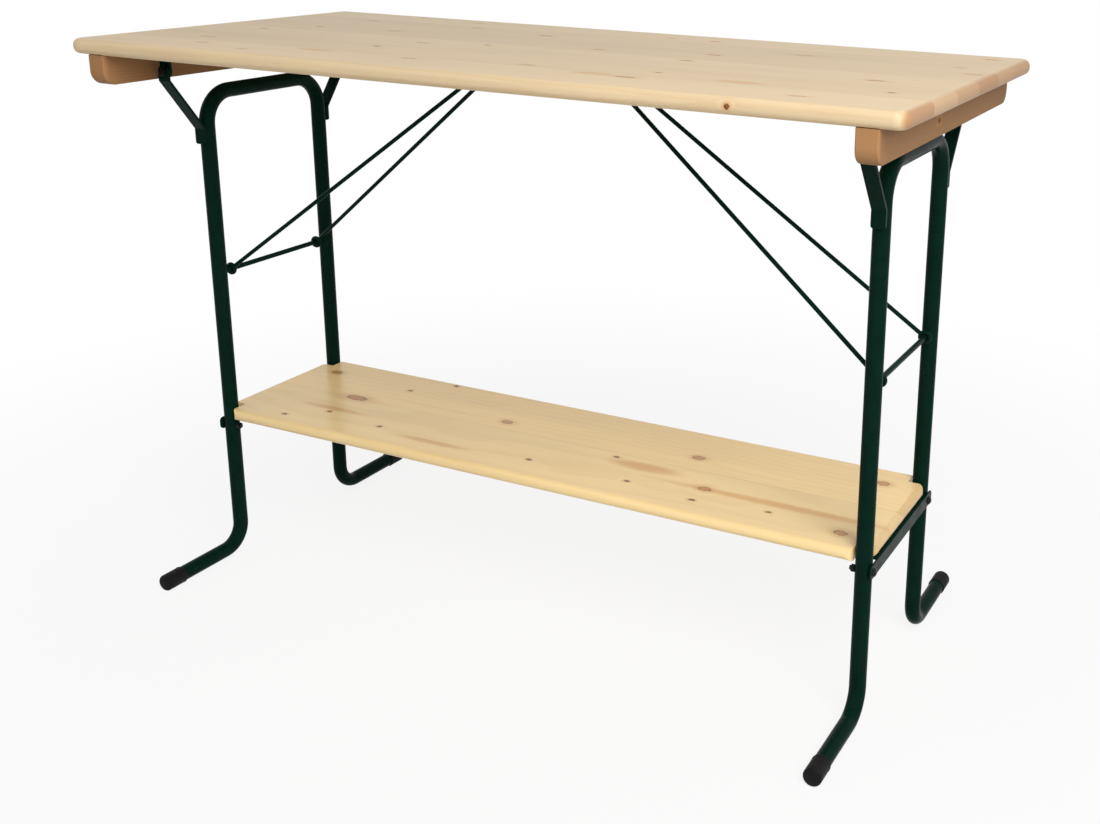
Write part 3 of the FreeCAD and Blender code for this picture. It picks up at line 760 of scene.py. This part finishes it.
def skin_material(name, colour, peel, gloss, dull, bump, specular, coat, metal=0.0, mottle=0.0):
    """Sprayed, moulded or plated skin: peel bump, patchy gloss and a slight change of tone."""
    made = bpy.data.materials.get(name)
    if made:
        return made
    material, tree, shader, coords = fresh_material(name)
    skin = use(tree, shared("skin"), Vector=coords, Peel_Scale=peel, Dull=dull, Glossy=gloss)
    tone = noise(tree, coords, 45.0, 4.0, 0.6)
    deep = [channel * (1.0 - mottle) for channel in colour]
    pale = [min(1.0, channel * (1.0 + mottle)) for channel in colour]
    mottled = blend(tree, ramp(tree, tone, 0.3, 0.7), rgba(deep), rgba(pale))
    raised = place(tree, "ShaderNodeBump", {"Height": skin.outputs["Height"], "Strength": bump,
                                            "Distance": 0.0005})
    feed(tree, shader, {"Base Color": mottled, "Roughness": skin.outputs["Roughness"], "Metallic": metal,
                        "Normal": raised.outputs[0], "Specular IOR Level": specular, "Coat Weight": coat,
                        "Coat Roughness": 0.12})
    return material


def paint_material(finishes):
    """Dark green enamel with a slight orange peel."""
    return skin_material("green_enamel", finishes.paint, 620.0, 0.18, 0.32, 0.03, 0.025, 0.0, mottle=0.12)


def cap_material(finishes):
    """Black moulded plastic with a fine texture."""
    return skin_material("black_moulding", finishes.cap, 1500.0, 0.45, 0.62, 0.22, 0.08, 0.0, mottle=0.15)


def bolt_material(finishes):
    """Blackened steel of the bolts and nuts."""
    return skin_material("black_steel", finishes.cap, 900.0, 0.30, 0.48, 0.10, 0.16, 0.0, mottle=0.2)


def zinc_material(finishes):
    """Zinc plate with a patchy lustre."""
    return skin_material("zinc_plate", finishes.zinc, 700.0, 0.26, 0.46, 0.08, 0.5, 0.0, metal=1.0,
                         mottle=0.10)


# Operators


class BARTABLE_OT_wood(Operator):
    """Varnish the tabletop, the shelf and the battens"""

    bl_idname = "bartable.wood"
    bl_label = "Wooden Boards"

    def execute(self, context):
        finishes = settings(context).finishes
        paint_node("tabletop", spruce_material(finishes))
        paint_node("shelf_board", pine_material(finishes))
        for side in SIDES:
            paint_node(side + "_batten", beech_material(finishes))
        return {"FINISHED"}


class BARTABLE_OT_steel(Operator):
    """Paint the leg frames, braces, brackets and rails"""

    bl_idname = "bartable.steel"
    bl_label = "Painted Steel"

    def execute(self, context):
        paint = paint_material(settings(context).finishes)
        for side in SIDES:
            for node in PAINTED_NODES + ("catch_plate",):
                paint_node(side + "_" + node, paint)
            for end in ENDS:
                paint_node(side + "_" + end + "_strap", paint)
                paint_node(side + "_" + end + "_bracket", paint)
        return {"FINISHED"}


class BARTABLE_OT_screws(Operator):
    """Set the cross-head screws under the top"""

    bl_idname = "bartable.screws"
    bl_label = "Screws"

    def execute(self, context):
        material = zinc_material(settings(context).finishes)
        batten_low, batten_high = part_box("batten_screws")
        bracket_low, bracket_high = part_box("bracket_screws")
        catch_low, catch_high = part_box("catch_screws")
        plate_seat = catch_low[2] + SMALL_HEAD[1] + SPRING_SHEET
        places = [(x, y, batten_low[2] + BATTEN_HEAD[1])
                  for x in (-BATTEN_X, BATTEN_X) for y in BATTEN_SCREW_Y]
        self.drive("batten_screws", places, BATTEN_HEAD, BATTEN_SHANK, batten_high[2], material)
        places = [(x, y, bracket_low[2] + SMALL_HEAD[1]) for x in (-LEG_X, LEG_X) for y in BRACKET_SCREW_Y]
        self.drive("bracket_screws", places, SMALL_HEAD, SMALL_SHANK, bracket_high[2], material)
        places = [(x + step, y, plate_seat) for x in (-CATCH_X, CATCH_X)
                  for step in (-CATCH_SCREW_X, CATCH_SCREW_X) for y in (-CATCH_SCREW_Y, CATCH_SCREW_Y)]
        places += [(x, 0.0, plate_seat - SPRING_SHEET) for x in (-CATCH_X, CATCH_X)]
        self.drive("catch_screws", places, SMALL_HEAD, SMALL_SHANK, catch_high[2], material)
        return {"FINISHED"}

    def drive(self, node, places, head, shank, tip, material):
        """Put a screw at each place, from its head's seat up to the tip."""
        grids = []
        for seat in places:
            grids += [(screw_head(seat, *head), False, True),
                      (screw_shank(seat, shank, tip - seat[2]), False, True)]
        finish(joined(node + "_driven", grids, 60.0), material, "top", "zinc_steel", node)


def screw_head(seat, radius, height):
    """Domed head that hangs below its seat, with a cross-shaped recess.

    Depth below the seat = height * (sqrt(1 - 0.75 s^2) - 0.6 inside the cross), s = distance / radius.
    """
    share = np.concatenate(([0.0, 1.0, 1.0], np.linspace(0.985, 0.0, 22)))
    turn = turns(48)
    p = np.abs(share[:, None] * np.cos(turn))
    q = np.abs(share[:, None] * np.sin(turn))
    arm, reach, edge = 0.15, 0.58, 0.05
    inside = np.maximum(np.clip((arm - p) / edge, 0.0, 1.0) * np.clip((reach - q) / edge, 0.0, 1.0),
                        np.clip((arm - q) / edge, 0.0, 1.0) * np.clip((reach - p) / edge, 0.0, 1.0))
    depth = height * (np.sqrt(1.0 - 0.75 * share[:, None] ** 2) - 0.6 * inside)
    depth[:2] = 0.0
    return turned(radius * share, depth, seat, (0.0, 0.0, -1.0), 48)


def screw_shank(seat, radius, length):
    """Wood thread up to a point: radius * (0.72 + 0.28 * triangle wave of (h / pitch - turn / 2 pi))."""
    h = np.linspace(0.0, length, int(length / WOOD_STEP))
    wave = np.abs(2.0 * np.mod(h[:, None] / WOOD_PITCH - turns(14) / (2.0 * math.pi), 1.0) - 1.0)
    taper = np.clip((length - h) / (3.0 * radius), 0.0, 1.0)[:, None]
    reach = radius * (0.72 + 0.28 * wave) * taper
    reach[0] = 0.0
    return turned(reach, h, seat, (0.0, 0.0, 1.0), 14)


class BARTABLE_OT_bolts(Operator):
    """Fit the pivot bolts with their nuts, and the rail bolts with theirs"""

    bl_idname = "bartable.bolts"
    bl_label = "Bolts and Nuts"

    def execute(self, context):
        sizes = settings(context).sizes
        material = bolt_material(settings(context).finishes)
        bolts, nuts = [], []
        for side in SIDES:
            rail_nuts = []
            inward = np.array((1.0 if side == "left" else -1.0, 0.0, 0.0))
            nut_low, nut_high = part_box(side + "_rail_nuts")
            for end in ENDS:
                axis = np.array((0.0, -1.0 if end == "front" else 1.0, 0.0))
                strap_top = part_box(side + "_" + end + "_strap")[1][2]
                eye = np.array((LEG_X * -inward[0], axis[1] * PIVOT_HEAD_Y, strap_top - STRAP_HALF))
                bolts += [(hexagon(eye, axis, HEAD_HEIGHT, False), False, True),
                          (washer(eye, axis, sizes), True, True),
                          (thread(eye, -axis, PIVOT_SHANK, sizes), False, True)]
                nuts.append((hexagon(eye - PIVOT_NUT * axis, -axis, NUT_HEIGHT, True), False, True))
                face = nut_low[0] if side == "left" else nut_high[0]
                seat = np.array((face, axis[1] * LEG_Y, (nut_low[2] + nut_high[2]) / 2.0))
                rail_nuts.append((hexagon(seat, inward, NUT_HEIGHT, True), False, True))
            finish(joined(side + "_rail_nut_pair", rail_nuts, 25.0), material, side + "_rail", "black_bolt",
                   side + "_rail_nuts")
            paint_node(side + "_rail_bolts", material)
            paint_node(side + "_catch_spring", zinc_material(settings(context).finishes))
        finish(joined("pivot_bolt_set", bolts, 25.0), material, "top", "black_bolt", "pivot_bolts")
        finish(joined("pivot_nut_set", nuts, 25.0), material, "top", "black_bolt", "pivot_nuts")
        return {"FINISHED"}


def hexagon(origin, axis, height, both_faces):
    """Hexagon of 13 mm across flats whose corners are cut by a cone, at the far face or at both.

    Radius = min(6.5 mm / cos(turn within a sixth), 6.2 mm + (height - h) / tan 30 deg).
    """
    h = np.concatenate(([0.0], np.linspace(0.0, HEX_CHAMFER, 8),
                        np.linspace(height - HEX_CHAMFER, height, 8), [height]))
    sixth = math.pi / 3.0
    flat = HEX_HALF_FLATS / np.cos(np.mod(turns(96) + sixth / 2.0, sixth) - sixth / 2.0)
    rise = np.minimum(height - h, h) if both_faces else height - h
    radius = np.minimum(flat, (HEX_CONE_FOOT + rise / math.tan(math.radians(30.0)))[:, None])
    radius[[0, -1]] = 0.0
    return turned(radius, h, origin, axis, 96)


def washer(origin, axis, sizes):
    """Thin flat ring under a bolt head: a rectangle turned about the bolt."""
    inner, outer = WASHER_BORE, sizes.washer_radius
    heights = (-WASHER_THICKNESS, -WASHER_THICKNESS, 0.0, 0.0)
    return turned((inner, outer, outer, inner), heights, origin, axis, 64)


def thread(origin, axis, length, sizes):
    """Threaded shank, closed at the ends: 3.9 mm - 0.6 mm * triangle wave of (h / pitch - turn / 2 pi)."""
    h = np.concatenate(([0.0], np.linspace(0.0, length, int(length / sizes.thread_pitch * 8.0)), [length]))
    wave = np.abs(2.0 * np.mod(h[:, None] / sizes.thread_pitch - turns(32) / (2.0 * math.pi), 1.0) - 1.0)
    radius = THREAD_RADIUS - THREAD_DEPTH * wave
    radius[[0, -1]] = 0.0
    return turned(radius, h, origin, axis, 32)


class BARTABLE_OT_foot_caps(Operator):
    """Turn the moulded caps on the four feet"""

    bl_idname = "bartable.foot_caps"
    bl_label = "Foot Caps"

    def execute(self, context):
        sizes = settings(context).sizes
        material = cap_material(settings(context).finishes)
        for side in SIDES:
            for end in ENDS:
                node = side + "_" + end + "_foot_cap"
                low, high = corners(node)
                middle = (low + high) / 2.0
                outward = -1.0 if end == "front" else 1.0
                radius = (high[2] - low[2]) / 2.0
                length = high[1] - low[1]
                start = (middle[0], low[1] if outward > 0 else high[1], middle[2])
                grid = cap_grid(radius, length, sizes, start, outward)
                piece = joined(node + "_moulding", [(grid, False, True)])
                finish(piece, material, side + "_frame", "cap_black", node)
        return {"FINISHED"}


def cap_grid(radius, length, sizes, start, outward):
    """Cap turned about the foot: a rolled lip, a plain body with two grooves and a rounded, domed end.

    Body radius = radius - 0.4 mm - groove depth * exp(-((h - h_groove) / 0.8 mm)^2).
    """
    bore = radius - CAP_WALL
    plain = radius - CAP_RELIEF
    h = np.linspace(CAP_BODY[0], length - CAP_BODY[1], 40)
    groove = (np.exp(-((h - CAP_GROOVES[0]) / CAP_GROOVE_WIDTH) ** 2)
              + np.exp(-((h - length + CAP_GROOVES[1]) / CAP_GROOVE_WIDTH) ** 2))
    body = plain - sizes.cap_groove * groove
    lip = np.linspace(-0.5 * math.pi, 0.5 * math.pi, 9)
    lip_h = CAP_LIP + CAP_LIP * np.sin(lip)
    lip_r = bore + (radius - bore) * np.cos(lip) ** 0.6
    lip_r[5:] = np.maximum(lip_r[5:], plain)
    corner = np.linspace(0.0, 0.5 * math.pi, 12)
    corner_h = length - sizes.cap_dome - CAP_EDGE + CAP_EDGE * np.sin(corner)
    corner_r = plain - CAP_EDGE + CAP_EDGE * np.cos(corner)
    face = np.linspace(1.0, 0.0, 10)[1:]
    face_r = corner_r[-1] * face
    face_h = length - sizes.cap_dome * face ** 2
    heights = np.concatenate((lip_h, h, corner_h, face_h))
    radii = np.concatenate((lip_r, body, corner_r, face_r))
    return turned(radii, heights, start, (0.0, outward, 0.0), 56)


class BARTABLE_OT_welds(Operator):
    """Lay the weld beads at the straps and the crossbars"""

    bl_idname = "bartable.welds"
    bl_label = "Weld Beads"

    def execute(self, context):
        sizes = settings(context).sizes
        material = paint_material(settings(context).finishes)
        for side in SIDES:
            grids = []
            bar_low, bar_high = corners(side + "_crossbar")
            for end in ENDS:
                outward = -1.0 if end == "front" else 1.0
                low, high = corners(side + "_" + end + "_strap")
                grids += strap_beads(low, high, outward, sizes)
                grids.append(bar_bead(bar_low, bar_high, outward, sizes))
            piece = joined(side + "_weld_beads", grids)
            finish(piece, material, side + "_frame", "green_paint")
        return {"FINISHED"}


def strap_beads(low, high, outward, sizes):
    """Two upright beads in the gaps between a strap's foot and the tube, with rippled, tapering radius."""
    x = (low[0] + high[0]) / 2.0
    z = np.linspace(low[2] + STRAP_BEAD_SPAN[0], low[2] + STRAP_BEAD_SPAN[1], 64)
    share = (z - z[0]) / (z[-1] - z[0])
    taper = np.sqrt(np.clip(1.0 - (2.0 * share - 1.0) ** 8, 0.0, 1.0))
    ripple = 1.0 + BEAD_SWELL * np.abs(np.sin(math.pi * (z - z[0]) / sizes.bead_ripple))
    grids = []
    for across in (-1.0, 1.0):
        path = np.stack((np.full_like(z, x + across * STRAP_BEAD_X),
                         np.full_like(z, outward * STRAP_BEAD_Y), z), axis=-1)
        radius = sizes.bead_radius * taper * ripple + 1e-6
        grids.append((carried(path, radius, np.array((1.0, 0.0, 0.0))), False, True))
    return grids


def bar_bead(low, high, outward, sizes):
    """Ring bead where a crossbar meets a leg: it follows y = leg - sqrt(tube^2 - x^2) round the bar."""
    x, z = (low[0] + high[0]) / 2.0, (low[2] + high[2]) / 2.0
    bar = (high[2] - low[2]) / 2.0
    turn = turns(96)
    offset = (bar + BAR_BEAD_GAP) * np.cos(turn)
    y = LEG_Y - np.sqrt(TUBE_RADIUS ** 2 - offset ** 2) - BAR_BEAD_SINK
    path = np.stack((x + offset, outward * y, z + (bar + BAR_BEAD_GAP) * np.sin(turn)), axis=-1)
    radius = BAR_BEAD_SHARE * sizes.bead_radius * (1.0 + BEAD_SWELL * np.sin(turn * 11.0))
    return carried(path, radius, np.array((0.0, 1.0, 0.0)), 12, closed=True), True, True


class BARTABLE_OT_stage(Operator):
    """Lay the floor, hang the lamps and set the camera"""

    bl_idname = "bartable.stage"
    bl_label = "Studio"

    def execute(self, context):
        studio = settings(context).studio
        build_floor(studio)
        build_world(context.scene, studio)
        lamp("key_lamp", studio.key_power, *KEY_LAMP)
        lamp("fill_lamp", studio.fill_power, *FILL_LAMP)
        build_camera(context.scene, studio)
        context.scene.view_settings.view_transform = "Standard"
        return {"FINISHED"}


def build_floor(studio):
    """Wide pale floor: a disc of rings whose radius grows with the square of the step.

    To the camera it goes over to plain white away from the table, and keeps a soft shadow near it.
    """
    step = np.linspace(0.0, 1.0, 24)
    turn = turns(96)
    reach = FLOOR_RADIUS * step[:, None] ** 2
    points = np.stack((reach * np.cos(turn), reach * np.sin(turn), 0.0 * reach * turn), axis=-1)
    floor = joined("floor", [(points, False, True)])
    material, tree, shader, coords = fresh_material("floor_sheet")
    tone = noise(tree, coords, 3.0, 2.0)
    low = rgba([channel * 0.985 for channel in studio.floor])
    feed(tree, shader, {"Base Color": blend(tree, tone, low, rgba(studio.floor)), "Roughness": 0.9,
                        "Specular IOR Level": 0.0})
    away = place(tree, "ShaderNodeVectorMath", {0: coords}, operation="LENGTH").outputs["Value"]
    white = place(tree, "ShaderNodeEmission", {"Color": (1.0, 1.0, 1.0, 1.0), "Strength": 1.0})
    share = calc(tree, "MULTIPLY", ramp(tree, away, 0.7, 2.4, studio.floor_white, 1.0), straight_look(tree))
    mixed = place(tree, "ShaderNodeMixShader", {0: share, 1: shader.outputs[0], 2: white.outputs[0]})
    output = next(node for node in tree.nodes if node.type == "OUTPUT_MATERIAL")
    tree.links.new(mixed.outputs[0], output.inputs[0])
    floor.data.materials.append(material)


def build_world(scene, studio):
    """Even room light, white where the camera or a reflection looks straight at it."""
    world = bpy.data.worlds.new("studio_world")
    world.use_nodes = True
    tree = world.node_tree
    tree.nodes.clear()
    strength = calc(tree, "MULTIPLY_ADD", straight_look(tree), 1.0 - studio.room, studio.room)
    back = place(tree, "ShaderNodeBackground", {"Color": (1.0, 1.0, 1.0, 1.0), "Strength": strength})
    output = tree.nodes.new("ShaderNodeOutputWorld")
    tree.links.new(back.outputs[0], output.inputs[0])
    scene.world = world


def lamp(name, power, where, target, size):
    """Square soft lamp that faces a target, left out of reflections so that varnish shows no glare."""
    data = bpy.data.lights.new(name, "AREA")
    data.energy = power
    data.size = size
    made = added(name, data)
    made.visible_glossy = False
    made.location = where
    made.rotation_euler = (Vector(target) - Vector(where)).to_track_quat("-Z", "Y").to_euler()


def build_camera(scene, studio):
    """Camera from yaw, pitch and roll: view = (-sin yaw cos pitch, cos yaw cos pitch, -sin pitch)."""
    yaw, pitch, roll = studio.camera_yaw, studio.camera_pitch, studio.camera_roll
    view = np.array((-math.sin(yaw) * math.cos(pitch), math.cos(yaw) * math.cos(pitch), -math.sin(pitch)))
    right = np.array((math.cos(yaw), math.sin(yaw), 0.0))
    down = np.cross(view, right)
    picture_right = math.cos(roll) * right + math.sin(roll) * down
    picture_down = -math.sin(roll) * right + math.cos(roll) * down
    data = bpy.data.cameras.new("camera")
    data.sensor_width = SENSOR_WIDTH
    data.lens = studio.camera_lens
    data.shift_x, data.shift_y = studio.camera_shift
    camera = added("camera", data)
    matrix = np.eye(4)
    matrix[:3] = np.stack((picture_right, -picture_down, -view, studio.camera_place), axis=-1)
    camera.matrix_world = Matrix(matrix.tolist())
    scene.camera = camera


class BARTABLE_PT_panel(Panel):
    """Steps and settings of the table"""

    bl_label = "Bar Table"
    bl_idname = "BARTABLE_PT_panel"
    bl_space_type = "VIEW_3D"
    bl_region_type = "UI"
    bl_category = "Bar Table"

    def draw(self, context):
        layout = self.layout
        for step in STEPS:
            layout.operator(step.bl_idname)
        for part in (settings(context).sizes, settings(context).finishes, settings(context).studio):
            for name in part.__annotations__:
                layout.prop(part, name)


STEPS = (BARTABLE_OT_wood, BARTABLE_OT_steel, BARTABLE_OT_screws, BARTABLE_OT_bolts, BARTABLE_OT_foot_caps,
         BARTABLE_OT_welds, BARTABLE_OT_stage)
CLASSES = (BarTableSizes, BarTableFinishes, BarTableStudio, BarTableSettings) + STEPS + (BARTABLE_PT_panel,)


def register():
    for entry in CLASSES:
        bpy.utils.register_class(entry)
    bpy.types.Scene.bar_table = PointerProperty(type=BarTableSettings)


def unregister():
    del bpy.types.Scene.bar_table
    for entry in reversed(CLASSES):
        bpy.utils.unregister_class(entry)


def main():
    register()
    bpy.ops.bartable.wood()
    bpy.ops.bartable.steel()
    bpy.ops.bartable.screws()
    bpy.ops.bartable.bolts()
    bpy.ops.bartable.foot_caps()
    bpy.ops.bartable.welds()
    bpy.ops.bartable.stage()


if __name__ == "__main__":
    main()
